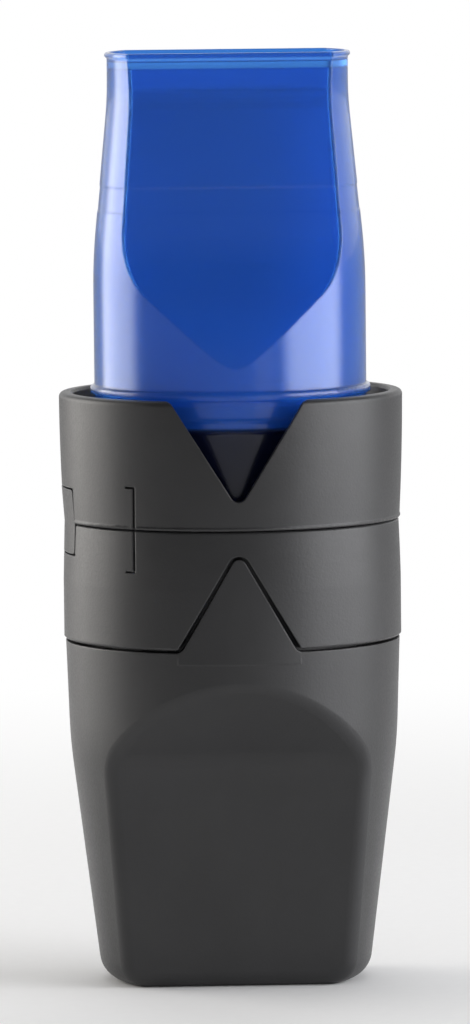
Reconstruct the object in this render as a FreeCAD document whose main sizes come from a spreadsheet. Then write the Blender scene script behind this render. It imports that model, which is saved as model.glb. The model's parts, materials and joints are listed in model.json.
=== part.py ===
import FreeCAD
import Part
import Sketcher
import math
import os
import re

# Inspiratory muscle trainer standing on its handle, with its mouthpiece cover on.
# Millimetres, +Z up, front towards -Y. The origin is the centre of the rest face.

doc = FreeCAD.newDocument("trainer")
sheet = doc.addObject("Spreadsheet::Sheet", "Sizes")

sizes = (
    ("rimRadius", 29.65, "outer radius of the handle at its rim"),
    ("handleTop", 60.9, "height of the handle's rim"),
    ("handleTaper", 7.1, "lean of the handle's side below its shoulder, degrees"),
    ("rimTaper", 1.9, "lean of the handle's side above its shoulder, degrees"),
    ("shoulderHeight", 39, "height where the steep taper ends"),
    ("shoulderBend", 8, "height of the bend between the two leans"),
    ("baseCorner", 4.8, "rounding of the base in the front view"),
    ("handleWall", 2.2, "wall of the handle"),
    ("handleFloor", 2.6, "thickness of the handle's floor"),
    ("footRecess", 0.8, "depth of the recess inside the rest face"),
    ("footRim", 3, "width of the rest face round that recess"),
    ("gripDepth", 13.3, "half depth of the grip at the base"),
    ("gripLean", 5.9, "lean of the flat grip face, degrees"),
    ("gripDrop", 1.5, "depth below the shoulder where the grip face starts to flare"),
    ("gripFlare", 9.3, "radius of the bend above the grip face"),
    ("gripAngle", 40, "lean of the flare above that bend, degrees"),
    ("gripEdge", 3, "rounding of the edge round the grip face"),
    ("airSlotLength", 14, "length of an air slot in the base"),
    ("airSlotWidth", 2, "width of an air slot"),
    ("airSlotPitch", 4.4, "spacing of the air slots"),
    ("rimWall", 2.3, "thickness of the handle's rim round its socket"),
    ("socketDepth", 6.7, "depth of the socket inside that rim"),
    ("tongueHalfWidth", 10.2, "half width of a tongue at the rim"),
    ("tongueHeight", 17.8, "height of a tongue above the rim"),
    ("tongueTip", 1.3, "rounding of a tongue's tip"),
    ("tongueFoot", 1.2, "height of the flare at a tongue's foot"),
    ("tongueGap", 0.7, "sideways gap between tongue and ring"),
    ("jointGap", 0.5, "gap between the handle's rim and the ring"),
    ("ringHeight", 20.8, "height of the lower ring"),
    ("ringProud", 0.3, "how far the lower ring stands out over the handle's rim"),
    ("ringStep", 0.33, "how far the ring draws in at the seam"),
    ("seamGap", 0.2, "gap at the seam between ring and collar"),
    ("ringChamfer", 0.3, "chamfer of the ring's upper and lower edge"),
    ("seamBead", 0.6, "height of the bead round the collar's foot"),
    ("beadSection", 0.45, "section radius of that bead"),
    ("collarHeight", 22.6, "height of the upper collar"),
    ("collarSpread", 0.62, "how much the collar widens to its rim"),
    ("collarProud", 0.2, "how far the collar's foot stands out over the ring at the seam"),
    ("collarCurve", 440, "radius of the collar's slightly curved side"),
    ("collarWall", 2.4, "wall of the collar"),
    ("collarRim", 0.9, "rounding of the collar's rim"),
    ("notchHalfWidth", 11.8, "half width of the collar's V notch at the rim"),
    ("notchDepth", 18.9, "depth of that notch"),
    ("notchTip", 1.5, "rounding at the foot of the notch"),
    ("notchShoulder", 1.2, "rounding of the notch's upper corners"),
    ("latchHalfWidth", 9.6, "half width of the side latch"),
    ("latchDrop", 5.3, "length of the latch below the ring's top"),
    ("latchHeight", 11.4, "height of the latch"),
    ("latchGap", 0.3, "gap round the latch"),
    ("latchThickness", 1.4, "thickness of the side latch"),
    ("latchFlare", 0.45, "how far the latch's upper end stands out over its middle"),
    ("latchProud", 0.05, "how far the latch stands out over the ring at the seam"),
    ("latchStem", 1.2, "radius of the latch's guide stem"),
    ("latchStemReach", 3.2, "length of that stem"),
    ("latchTravel", 0.7, "press of the latch"),
    ("latchCorner", 0.8, "rounding of the latch's corners"),
    ("leafThickness", 0.3, "thickness of the latch's leaf spring"),
    ("leafHalfWidth", 3, "half width of that leaf spring"),
    ("bracketSide", 17.9, "distance of the engraved brackets to the left of the middle"),
    ("bracketMargin", 1.6, "height of a bracket above the latch"),
    ("bracketDrop", 2.2, "depth of a bracket below the latch"),
    ("bracketHook", 1.6, "length of a bracket's hooks"),
    ("bracketLine", 0.35, "width and depth of the engraved line"),
    ("bodyGap", 0.4, "gap between the valve body and the handle's socket"),
    ("bodyWall", 3, "wall of the valve body"),
    ("bodyFootGap", 0.6, "gap under the valve body's lower end"),
    ("plateRise", 25.2, "height of the partition over the body's lower end"),
    ("plateThickness", 2, "thickness of the partition"),
    ("ledgeThickness", 2.4, "height of the ledge round the neck over the partition"),
    ("neckRadius", 21.05, "outer radius of the neck"),
    ("neckLength", 14.6, "length of the neck above the ledge"),
    ("inletRadius", 8.5, "radius of the inlet opening"),
    ("sealWire", 0.9, "section radius of the ring seals"),
    ("bodySealRise", 2.9, "height of the body's ring seal over its lower end"),
    ("neckSealDrop", 5, "depth of the neck's ring seal below its rim"),
    ("sealGap", 0.12, "gap between a ring seal and what slides over it"),
    ("seatWidth", 1.8, "width of the inlet seat"),
    ("seatHeight", 1.5, "height of the inlet seat"),
    ("seatGap", 0.1, "gap between the seat and the soft face above it"),
    ("faceThickness", 1.2, "thickness of the valve's soft face"),
    ("discOverlap", 2.5, "how far the inlet valve reaches past the opening"),
    ("discThickness", 1.4, "thickness of the inlet valve"),
    ("hubRadius", 4.6, "radius of the hubs round the rod"),
    ("valveLift", 3, "lift of the inlet valve"),
    ("guideThickness", 1.5, "thickness of the stem guide"),
    ("spokeWidth", 1.6, "width of the stem guide's spokes"),
    ("rodRadius", 3, "radius of the rod over its thread"),
    ("rodNeck", 2.2, "radius of the rod above its shoulder"),
    ("rodSocket", 2.4, "height of the rod's lower end over the knob's underside"),
    ("rodClearance", 0.06, "radial clearance round the rod"),
    ("clipThickness", 0.7, "thickness of the clip on the rod"),
    ("knobRadius", 11, "radius of the adjuster knob"),
    ("knobBottom", 4.6, "height of the knob's underside"),
    ("knobHeight", 10.8, "height of the knob"),
    ("knobGap", 0.8, "gap between the lifted knob and the cage"),
    ("knobFlutes", 14, "number of grip flutes"),
    ("fluteRadius", 1.5, "radius of a grip flute"),
    ("fluteDepth", 0.8, "depth of a grip flute"),
    ("cageRadius", 11.6, "outer radius of the spring cage"),
    ("cageWall", 1.4, "wall of the spring cage"),
    ("cageFloor", 1.8, "thickness of the cage's floor"),
    ("cageNeckHeight", 7, "height of the cage's narrow neck"),
    ("cageStop", 1.5, "thickness of the shoulder that holds the spring"),
    ("slotHalfWidth", 3.4, "half width of the slots in the cage"),
    ("slotEnd", 1, "spare length at each end of the nut's slots"),
    ("airSlotDrop", 7, "distance of the cage's side slots from its neck"),
    ("lugReach", 4.4, "distance of the cage screws from the cage's wall"),
    ("lugRadius", 2.8, "radius of a screw lug"),
    ("lugThickness", 1.6, "thickness of a screw lug"),
    ("screwRadius", 1.1, "radius of a cage screw"),
    ("screwHead", 2, "radius of a screw head"),
    ("screwHeadHeight", 1.4, "height of a screw head"),
    ("screwDepth", 5, "depth of the knob's screw in the rod"),
    ("screwLength", 5.5, "depth of a cage screw in the valve body"),
    ("nutClearance", 0.6, "gap between the nut and the cage's wall"),
    ("nutGap", 3, "gap between the cage's floor and the nut at the least load"),
    ("nutHeight", 6, "height of the nut"),
    ("nutArmProud", 0.4, "how far the nut's arms stand out of the cage"),
    ("nutArmGap", 0.35, "gap between an arm and the slot's side"),
    ("nutTravel", 16, "travel of the nut over the scale"),
    ("pointerThickness", 0.8, "thickness of the pointer plate"),
    ("washerThickness", 0.6, "thickness of the washer on the nut"),
    ("stopThickness", 1.2, "thickness of the washer above the spring"),
    ("springRadius", 7.6, "mean radius of the load spring"),
    ("springWire", 0.75, "radius of the spring's wire"),
    ("springTurns", 8, "number of turns of the spring"),
    ("springPlay", 0.05, "gap between the spring's end coil and its washer"),
    ("scaleThickness", 0.5, "thickness of the scale strip"),
    ("scaleMargin", 3, "length of the scale strip beyond the pointer's travel"),
    ("portCircle", 15, "distance of the exhale valve from the axis"),
    ("portRadius", 1.1, "radius of an exhale port"),
    ("portSpread", 2.2, "distance of the ports from the flap's middle"),
    ("flapRadius", 4.3, "radius of the exhale flap"),
    ("flapThickness", 0.7, "thickness of the exhale flap"),
    ("flapLift", 1, "drop of the flap as it opens"),
    ("buttonHeight", 0.9, "height of the button on the flap's stem"),
    ("buttonReach", 1.1, "how far that button stands out from the stem"),
    ("flapStem", 0.75, "radius of the flap's stem"),
    ("mouthBaseWall", 1.5, "wall of the mouthpiece round the neck"),
    ("mouthGap", 0.15, "gap between mouthpiece and neck"),
    ("mouthBaseRise", 4.5, "round part of the mouthpiece above the neck"),
    ("mouthBaseFloor", 0.3, "gap between the mouthpiece's foot and the ledge"),
    ("mouthTaper", 28.5, "length over which the mouthpiece flattens"),
    ("mouthLength", 26, "length of the mouthpiece above its narrow part"),
    ("mouthHalfWidth", 18.4, "half width of the mouthpiece's lips"),
    ("mouthHalfDepth", 8.4, "half depth of the mouthpiece's lips"),
    ("mouthBlend", 4, "height of the bends above the foot and below the narrow part"),
    ("biteRim", 0.8, "how far the bite rim stands out"),
    ("biteHeight", 3, "height of the bite rim"),
    ("coverGap", 0.31, "gap between the cover and the mouthpiece's foot"),
    ("coverHeadroom", 7, "height of the cover's lip over the mouthpiece"),
    ("coverWall", 1.1, "wall of the cover"),
    ("coverFootGap", 0.3, "gap between the cover's lower edge and the ledge"),
    ("coverFlange", 0.75, "how far the cover's flange stands out"),
    ("flangeRise", 19.8, "height of the cover's flange over its lower edge"),
    ("flangeThickness", 1.7, "thickness of that flange"),
    ("flangeEdge", 0.6, "rounding of that flange's upper edge"),
    ("beadHeight", 0.9, "height of a bead on the cover's skirt"),
    ("beadDepth", 0.3, "how far a bead stands out"),
    ("beadPitch", 1.9, "spacing of the beads"),
    ("roundLength", 18.5, "length of the cover's round part above the flange"),
    ("coverTaper", 5.6, "lean of the cover's side, degrees"),
    ("taperBend", 110, "radius of the bend into that taper"),
    ("taperLength", 31, "length of the cover's narrowing part"),
    ("topBend", 60, "radius of the bend out of the taper"),
    ("coverDepth", 11.35, "half depth of the cover at its top"),
    ("coverLean", 4, "lean of the cover's flat faces, degrees"),
    ("faceRise", 11.5, "height over the taper's start where a flat face starts to flare"),
    ("flareRadius", 20, "radius of the flare under a flat face"),
    ("flareAngle", 42, "steepest lean of the flare, degrees"),
    ("lipHeight", 1.1, "height of the cover's lip"),
    ("lipReach", 0.4, "how far the lip stands out"),
    ("lipWidth", 0.9, "width of the lip's top"),
    ("topRecess", 1.6, "depth of the cover's top under its lip"),
    ("bandRise", 14, "height of the shallow band over the taper's start"),
    ("bandHeight", 4.5, "height of that band"),
    ("bandDepth", 0.1, "depth of that band"),
)
names = {alias for alias, number, note in sizes}
for row, (alias, number, note) in enumerate(sizes, 1):
    sheet.set(f"A{row}", note)
    sheet.set(f"B{row}", str(number))
    sheet.setAlias(f"B{row}", alias)
doc.recompute()

# Places and sizes that several pieces share, worked out from the driving ones
places = {
    "mouthFootRadius": "neckRadius + mouthGap + mouthBaseWall",
    "socketRadius": "rimRadius - rimWall",
    "socketFloor": "handleTop - socketDepth",
    "ringRadius": "rimRadius + ringProud",
    "ringNeckRadius": "ringRadius - ringStep",
    "collarFootRadius": "ringNeckRadius + collarProud",
    "collarRadius": "collarFootRadius + collarSpread",
    "latchLow": "ringTop - latchDrop",
    "latchRadius": "ringNeckRadius + latchProud",
    "bodyRadius": "socketRadius - bodyGap",
    "bodyLow": "socketFloor + bodyFootGap",
    "plateHeight": "bodyLow + plateRise",
    "ledgeHeight": "plateTop + ledgeThickness",
    "neckTop": "ledgeHeight + neckLength",
    "bodySealHeight": "bodyLow + bodySealRise",
    "neckSealHeight": "neckTop - neckSealDrop",
    "rodBottom": "knobBottom + rodSocket",
    "airSlotTop": "cageNeck - airSlotDrop",
    "mouthBaseTop": "neckTop + mouthBaseRise",
    "mouthWaist": "mouthBaseTop + mouthTaper",
    "mouthTop": "mouthWaist + mouthLength",
    "coverTop": "mouthTop + coverHeadroom",
    "coverFoot": "ledgeHeight + coverFootGap",
    "coverRadius": "mouthFootRadius + coverGap + coverWall",
    "flangeHeight": "coverFoot + flangeRise",
    "taperStart": "flangeHeight + roundLength",
    "taperEnd": "taperStart + taperLength",
    "faceBend": "taperStart + faceRise",
    "bandLow": "taperStart + bandRise",
    "gripHeight": "shoulderHeight - gripDrop",
    "discRadius": "inletRadius + discOverlap",
    "nutRadius": "cageBore - nutClearance",
    "nutArm": "cageRadius + nutArmProud",
    "lugCircle": "cageRadius + lugReach",
    "ringBottom": "handleTop + jointGap",
    "ringTop": "ringBottom + ringHeight",
    "collarBottom": "ringTop + seamGap",
    "collarTop": "collarBottom + collarHeight",
    "collarBore": "collarRadius - collarWall",
    "plateTop": "plateHeight + plateThickness",
    "buttonLow": "plateTop + flapLift + seatGap",
    "seatTop": "plateTop + seatHeight",
    "faceLow": "seatTop + seatGap",
    "discLow": "faceLow + faceThickness",
    "discTop": "discLow + discThickness",
    "rodBore": "rodRadius + rodClearance",
    "cageBore": "cageRadius - cageWall",
    "nutTop": "nutLow + nutHeight",
    "springLow": "nutTop + washerThickness",
    "springHigh": "cageNeck - stopThickness",
    "cavityRadius": "coverRadius - coverWall",
    "tongueTop": "handleTop + tongueHeight",
    "latchTop": "latchLow + latchHeight",
    "latchMiddle": "latchLow + latchHeight / 2",
    "stemEnd": "latchRadius - latchThickness - latchStemReach",
    "bodySealRadius": "socketRadius - sealGap",
    "neckSealRadius": "neckRadius + mouthGap / 2",
    "far": "3 * collarRadius",
    "rodTop": "discTop + 3 * clipThickness",
    "neckBore": "rodNeck + rodClearance",
    "cageLow": "knobBottom + knobHeight + valveLift + knobGap",
    "nutLow": "cageLow + cageFloor + nutGap",
    "cageNeck": "plateHeight - cageNeckHeight",
    "slotLow": "nutLow - slotEnd",
    "slotHigh": "nutTop + nutTravel + valveLift + slotEnd",
    "scaleLow": "nutLow + nutHeight / 2 - scaleMargin",
    "scaleHigh": "scaleLow + nutTravel + 2 * scaleMargin",
}


def formula(text):
    """Write each place in a formula out in full, and each size as the sheet's own name for it."""
    def spell(word):
        if word[0] in places:
            return f"({formula(places[word[0]])})"
        return f"Sizes.{word[0]}" if word[0] in names else word[0]
    return re.sub(r"[A-Za-z]\w*", spell, str(text))


def value(text):
    """Work out a formula of sizes."""
    return float(sheet.evalExpression(formula(text)))


def newBody(name):
    body = doc.addObject("PartDesign::Body", name)
    body.Label = name
    return body


def newSketch(body, role, level="0"):
    """Add a sketch on one of the body's own planes, raised to a level."""
    plane = next(item for item in body.Origin.OriginFeatures if item.Role == role)
    sketch = body.newObject("Sketcher::SketchObject", f"{body.Name}_sketch")
    sketch.AttachmentSupport = [(plane, "")]
    sketch.MapMode = "FlatFace"
    if level != "0":
        sketch.setExpression(".AttachmentOffset.Base.z", formula(level))
    return sketch


def arcBetween(start, end, radius, turn):
    """A short arc from start to end. turn is 1 for anticlockwise and -1 for clockwise."""
    chord = end - start
    left = FreeCAD.Vector(-chord.y, chord.x, 0).normalize()
    offset = math.sqrt(max(radius ** 2 - chord.Length ** 2 / 4, 0))
    centre = (start + end) / 2 + left * offset * turn
    first, last = (start, end) if turn > 0 else (end, start)
    angles = [math.atan2(point.y - centre.y, point.x - centre.x) for point in (first, last)]
    circle = Part.Circle(centre, FreeCAD.Vector(0, 0, 1), radius)
    return Part.ArcOfCircle(circle, angles[0], angles[1])


def pin(sketch, kind, geometry, end, place):
    """Tie one end of an edge to a formula, measured from the sketch's origin."""
    if place == "0":
        axis = -2 if kind == "DistanceX" else -1
        sketch.addConstraint(Sketcher.Constraint("PointOnObject", geometry, end, axis))
        return
    index = sketch.addConstraint(Sketcher.Constraint(kind, -1, 1, geometry, end, value(place)))
    sketch.setExpression(f"Constraints[{index}]", formula(place))


def loop(sketch, corners):
    """Draw a closed outline. A corner is (x, y), or (x, y, radius, turn) where an arc follows it."""
    points = [FreeCAD.Vector(value(corner[0]), value(corner[1]), 0) for corner in corners]
    ends = []
    for index, corner in enumerate(corners):
        start = points[index]
        end = points[(index + 1) % len(points)]
        if len(corner) == 4:
            geometry = sketch.addGeometry(arcBetween(start, end, value(corner[2]), corner[3]), False)
            ends.append((geometry, 1, 2) if corner[3] > 0 else (geometry, 2, 1))
        else:
            geometry = sketch.addGeometry(Part.LineSegment(start, end), False)
            ends.append((geometry, 1, 2))
    for index, corner in enumerate(corners):
        geometry, first, last = ends[index]
        before = ends[index - 1]
        sketch.addConstraint(Sketcher.Constraint("Coincident", before[0], before[2], geometry, first))
        pin(sketch, "DistanceX", geometry, first, corner[0])
        pin(sketch, "DistanceY", geometry, first, corner[1])
        if len(corner) == 4:
            bend = sketch.addConstraint(Sketcher.Constraint("Radius", geometry, value(corner[2])))
            sketch.setExpression(f"Constraints[{bend}]", formula(corner[2]))


def flipped(corners):
    """The same outline on the other side of the vertical axis."""
    return [(f"-({c[0]})", c[1]) + ((c[2], -c[3]) if len(c) == 4 else ()) for c in corners]


def rectangle(left, right, low, high):
    return [(left, low), (right, low), (right, high), (left, high)]


def disc(sketch, x, y, radius):
    """Draw a circle."""
    centre = FreeCAD.Vector(value(x), value(y), 0)
    geometry = sketch.addGeometry(Part.Circle(centre, FreeCAD.Vector(0, 0, 1), value(radius)), False)
    pin(sketch, "DistanceX", geometry, 3, x)
    pin(sketch, "DistanceY", geometry, 3, y)
    size = sketch.addConstraint(Sketcher.Constraint("Radius", geometry, value(radius)))
    sketch.setExpression(f"Constraints[{size}]", formula(radius))


def turn(body, corners):
    """Revolve an outline of (radius, height) corners about the body's axis."""
    sketch = newSketch(body, "XZ_Plane")
    loop(sketch, corners)
    feature = body.newObject("PartDesign::Revolution", f"{body.Name}_turn")
    feature.Profile = sketch
    feature.ReferenceAxis = (sketch, ["V_Axis"])
    feature.Angle = 360
    doc.recompute()
    return feature


def extrude(body, kind, sketch, length, side="One side", reverse=False):
    """Pad or pocket a sketch, and make sure that it changed the solid."""
    before = body.Shape.Volume if body.Tip else 0
    feature = body.newObject(f"PartDesign::{kind}", f"{body.Name}_{kind.lower()}")
    feature.Profile = sketch
    feature.SideType = side
    feature.Reversed = reverse
    feature.setExpression("Length", formula(length))
    doc.recompute()
    if abs(body.Shape.Volume - before) < 1e-3:
        raise ValueError(f"{body.Name}: a {kind} changes nothing")
    return feature


def roundOver(body, kind, size, wanted):
    """Fillet or chamfer the edges for which wanted(edge) is true."""
    base = body.Tip
    edges = [f"Edge{i}" for i, edge in enumerate(base.Shape.Edges, 1) if wanted(edge)]
    if not edges:
        raise ValueError(f"{body.Name}: no edge for a {kind}")
    feature = body.newObject(f"PartDesign::{kind}", f"{body.Name}_{kind.lower()}")
    feature.Base = (base, edges)
    feature.setExpression("Radius" if kind == "Fillet" else "Size", formula(size))
    doc.recompute()
    return feature


def turned(name, corners):
    """A plain turned piece."""
    body = newBody(name)
    turn(body, corners)
    return body


def washer(name, bore, radius, low, thickness):
    return turned(name, rectangle(bore, radius, low, f"{low} + {thickness}"))


def combine(kind, name, *pieces):
    """Join two pieces by a boolean: Cut, Fuse or Common."""
    result = doc.addObject(f"Part::{kind}", name)
    result.Label = name
    result.Base = pieces[0]
    result.Tool = pieces[1]
    doc.recompute()
    return result


def across(body, kind, role, outlines):
    """Pad or pocket outlines right across the piece, both ways from its middle plane."""
    sketch = newSketch(body, role)
    for outline in outlines:
        loop(sketch, outline)
    return extrude(body, kind, sketch, "2 * far", "Symmetric")


def handleProfile(rim, corner, floor):
    """Half outline of the handle: rounded base, steep taper, a bend, and a slight lean up to the rim."""
    bend = "(shoulderBend / (sin(handleTaper) - sin(rimTaper)))"
    upper = f"({rim} - (handleTop - shoulderHeight - shoulderBend) * tan(rimTaper))"
    shoulder = f"({upper} - {bend} * (cos(rimTaper) - cos(handleTaper)))"
    cornerHeight = f"({floor} + {corner})"
    footHeight = f"({cornerHeight} - {corner} * sin(handleTaper))"
    foot = f"({shoulder} - (shoulderHeight - {footHeight}) * tan(handleTaper))"
    flat = f"({foot} - {corner} * cos(handleTaper))"
    return [
        ("0", floor),
        (flat, floor, corner, 1),
        (foot, footHeight),
        (shoulder, "shoulderHeight", bend, 1),
        (upper, "shoulderHeight + shoulderBend"),
        (rim, "handleTop"),
        ("0", "handleTop"),
    ]


def gripProfile(inset):
    """What is cut off in front of the grip face, in (depth, height): a leaning face, a bend and a flare."""
    middle = "(gripDepth + gripHeight * tan(gripLean))"
    centre = f"({middle} + gripFlare * cos(gripLean))"
    level = "(gripHeight - gripFlare * sin(gripLean))"
    radius = f"(gripFlare + {inset})"
    bendDepth = f"({centre} - {radius} * cos(gripAngle))"
    bendHeight = f"({level} + {radius} * sin(gripAngle))"
    flareTop = f"{bendHeight} + rimRadius * cos(gripAngle)"
    return [
        (f"gripDepth - {inset} / cos(gripLean) - tan(gripLean)", "-1"),
        (f"{centre} - {radius} * cos(gripLean)", f"{level} + {radius} * sin(gripLean)", radius, -1),
        (bendDepth, bendHeight),
        (f"{bendDepth} + rimRadius * sin(gripAngle)", flareTop),
        ("far", flareTop),
        ("far", "-1"),
    ]


def makeHandle():
    """Handle: tapered round shell with a scooped grip face front and back, and two tongues."""
    outside = newBody("handle_outside")
    turn(outside, handleProfile("rimRadius", "baseCorner", "0"))
    grip = gripProfile("0")
    across(outside, "Pocket", "YZ_Plane", [grip, flipped(grip)])
    roundOver(outside, "Fillet", "gripEdge", isGripEdge)

    inside = newBody("handle_inside")
    turn(inside, handleProfile("(rimRadius - handleWall)", "(baseCorner - handleWall)", "handleFloor"))
    grip = gripProfile("handleWall")
    across(inside, "Pocket", "YZ_Plane", [grip, flipped(grip)])
    slots = newSketch(inside, "XY_Plane")
    for index in range(-2, 3):
        middle = f"{index} * airSlotPitch"
        loop(slots, rectangle("-airSlotLength / 2", "airSlotLength / 2",
                              f"{middle} - airSlotWidth / 2", f"{middle} + airSlotWidth / 2"))
    extrude(inside, "Pad", slots, "handleFloor + 0.5")

    recess = newBody("foot_recess")
    footDepth = "(gripDepth - footRim)"
    footWidth = f"({handleProfile('rimRadius', 'baseCorner', '0')[1][0]} - footRim)"
    sketch = newSketch(recess, "XY_Plane")
    loop(sketch, rectangle(f"-{footWidth}", footWidth, f"-{footDepth}", footDepth))
    extrude(recess, "Pad", sketch, "footRecess")
    roundOver(recess, "Fillet", "footRim", isUpright)

    bore = turned("handle_bore", rectangle("0", "socketRadius", "socketFloor", "handleTop"))
    hollow = combine("Fuse", "handle_hollow", inside, recess)
    hollow = combine("Fuse", "handle_hollow_bored", hollow, bore)
    shell = combine("Cut", "handle_cup", outside, hollow)

    sleeve = turned("tongue_sleeve", [("socketRadius", "handleTop - 2"), ("rimRadius", "handleTop - 2"),
                                      ("rimRadius", "tongueTop"), ("socketRadius", "tongueTop")])
    wedge = newBody("tongue_wedge")
    across(wedge, "Pad", "XZ_Plane", [tongueOutline("0", "handleTop", "tongueFoot")])
    roundOver(wedge, "Fillet", "tongueTip", lambda edge: liesAt(edge, "tongueTop"))
    tongues = combine("Common", "tongues", sleeve, wedge)
    return combine("Fuse", "handle_shell", shell, tongues)


def tongueOutline(gap, base, flare):
    """Pointed tongue with flared feet, or the notch that lies a gap outside it."""
    half = f"(tongueHalfWidth + {gap})"
    side = f"({half} * (1 - {flare} / (tongueHeight + {gap})))"
    foot = f"({half} + {flare} / 2)"
    return [
        (f"-{foot}", f"{base} - 2"), (foot, f"{base} - 2"),
        (foot, base, f"2 * {flare}", -1),
        (side, f"{base} + {flare}"),
        ("0", f"{base} + tongueHeight + {gap}"),
        (f"-{side}", f"{base} + {flare}", f"2 * {flare}", -1),
        (f"-{foot}", base),
    ]


def isUpright(edge):
    return edge.BoundBox.XLength < 1e-4 and edge.BoundBox.YLength < 1e-4


def runsAcross(edge):
    return edge.BoundBox.YLength < 1e-4 and edge.BoundBox.ZLength < 1e-4


def liesAt(edge, height):
    """Is this a straight edge at this height?"""
    box = edge.BoundBox
    return abs(box.ZMin - value(height)) < 1e-3 and abs(box.ZMax - value(height)) < 1e-3


def isGripEdge(edge):
    """The edge where a grip face or its flare meets the round side or the base."""
    box = edge.BoundBox
    middle = edge.valueAt((edge.FirstParameter + edge.LastParameter) / 2)
    if box.ZMax < 1e-3:
        return box.YLength < 1e-3
    onFace = min(abs(abs(point.Point.y) - faceDepth(point.Point.z)) for point in edge.Vertexes) < 0.02
    return onFace and box.YLength > 1e-3 and abs(middle.x) > 1e-3


def faceDepth(height):
    """Half depth of the grip face or its flare at a height."""
    lean = math.radians(value("gripLean"))
    steep = math.radians(value("gripAngle"))
    start = value("gripHeight")
    if height <= start:
        return value("gripDepth") + height * math.tan(lean)
    radius = value("gripFlare")
    centre = value("gripDepth") + start * math.tan(lean) + radius * math.cos(lean)
    rise = height - start + radius * math.sin(lean)
    bendRise = radius * math.sin(steep)
    if rise <= bendRise:
        return centre - math.sqrt(radius ** 2 - rise ** 2)
    return centre - radius * math.cos(steep) + (rise - bendRise) * math.tan(steep)


def makeRing():
    """Ring round the foot of the head, with an inverted V notch front and back."""
    body = newBody("ring_plain")
    turn(body, [
        ("bodyRadius", "ringBottom"),
        ("ringRadius - ringChamfer", "ringBottom"),
        ("ringRadius", "ringBottom + ringChamfer"),
        ("ringRadius", "ringBottom + ringHeight / 2", "20 * ringHeight", 1),
        ("ringNeckRadius", "ringTop - ringChamfer"),
        ("ringNeckRadius - ringChamfer", "ringTop"),
        ("bodyRadius", "ringTop"),
    ])
    across(body, "Pocket", "XZ_Plane", [tongueOutline("tongueGap", "ringBottom", "(tongueFoot - tongueGap)")])
    roundOver(body, "Fillet", "tongueTip + tongueGap",
              lambda edge: liesAt(edge, "ringBottom + tongueHeight + tongueGap"))
    cutWindow(body)
    return combine("Cut", "lower_ring", body, makeBrackets("ring_brackets", "ringNeckRadius"))


def makeCollar():
    """Open collar round the neck, with a V notch front and back."""
    bead = "(beadSection - sqrt(beadSection^2 - seamBead^2 / 4))"
    body = newBody("collar_plain")
    turn(body, [
        ("bodyRadius", "collarBottom"),
        ("collarFootRadius", "collarBottom", "beadSection", 1),
        (f"collarFootRadius + {bead}", "collarBottom + seamBead / 2", "beadSection", 1),
        ("collarFootRadius", "collarBottom + seamBead", "collarCurve", 1),
        ("collarRadius", "collarTop - collarRim", "collarRim", 1),
        ("collarRadius - collarRim", "collarTop"),
        ("collarBore + collarRim / 2", "collarTop"),
        ("collarBore", "collarTop - collarRim / 2"),
        ("collarBore", "ledgeHeight"),
        ("bodyRadius", "ledgeHeight"),
    ])
    depth = "(collarTop - notchDepth)"
    slope = "(notchHalfWidth / notchDepth)"
    corner = "(notchHalfWidth + notchShoulder / 2)"
    across(body, "Pocket", "XZ_Plane", [[
        ("0", depth),
        (f"notchHalfWidth - notchShoulder * {slope}", "collarTop - notchShoulder", "2 * notchShoulder", -1),
        (corner, "collarTop"),
        (corner, "collarTop + 2"),
        (f"-{corner}", "collarTop + 2"),
        (f"-{corner}", "collarTop", "2 * notchShoulder", -1),
        (f"-(notchHalfWidth - notchShoulder * {slope})", "collarTop - notchShoulder"),
    ]])
    roundOver(body, "Fillet", "notchTip", lambda edge: liesAt(edge, depth))
    cutWindow(body)
    return combine("Cut", "upper_collar", body, makeBrackets("collar_brackets", "collarFootRadius"))


def cutWindow(body):
    """Opening for the side latch, in the left of the ring or the collar."""
    sketch = newSketch(body, "YZ_Plane")
    loop(sketch, rectangle("-(latchHalfWidth + latchGap)", "latchHalfWidth + latchGap",
                           "latchLow - latchGap", "latchTop + latchGap"))
    extrude(body, "Pocket", sketch, "far")


def makeBrackets(name, radius):
    """Engraved lines beside the side latch: upright brackets whose hooks turn towards the latch."""
    low = "(latchLow - bracketDrop)"
    high = "(latchTop + bracketMargin)"
    outer = "-(bracketSide + bracketLine)"
    hook = "-(bracketSide + bracketHook)"
    outline = [("-bracketSide", low), ("-bracketSide", high), (hook, high), (hook, f"{high} - bracketLine"),
               (outer, f"{high} - bracketLine"), (outer, f"{low} + bracketLine"),
               (hook, f"{low} + bracketLine"), (hook, low)]
    bars = newBody(f"{name}_bars")
    across(bars, "Pad", "XZ_Plane", [outline])
    sleeve = turned(f"{name}_sleeve", rectangle(f"{radius} - bracketLine", f"{radius} + 3", low, high))
    return combine("Common", name, bars, sleeve)


def makeLatch():
    """Curved panel in the left side that bridges the seam, with a stem that guides it in the valve body."""
    sleeve = turned("latch_sleeve", [
        ("latchRadius - latchThickness", "latchLow"), ("latchRadius + latchFlare / 3", "latchLow"),
        ("latchRadius", "ringTop"), ("latchRadius + latchFlare", "latchTop"),
        ("latchRadius - latchThickness", "latchTop")])
    block = newBody("latch_block")
    sketch = newSketch(block, "YZ_Plane")
    loop(sketch, rectangle("-latchHalfWidth", "latchHalfWidth", "latchLow", "latchTop"))
    extrude(block, "Pad", sketch, "far", reverse=True)
    roundOver(block, "Fillet", "latchCorner", runsAcross)
    panel = combine("Common", "latch_panel", sleeve, block)
    stem = newBody("latch_stem")
    sketch = newSketch(stem, "YZ_Plane", "-(latchRadius - latchThickness - latchStemReach)")
    disc(sketch, "0", "latchMiddle", "latchStem")
    extrude(stem, "Pad", sketch, "latchStemReach + latchThickness / 2", reverse=True)
    return combine("Fuse", "side_latch", panel, stem)


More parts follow.
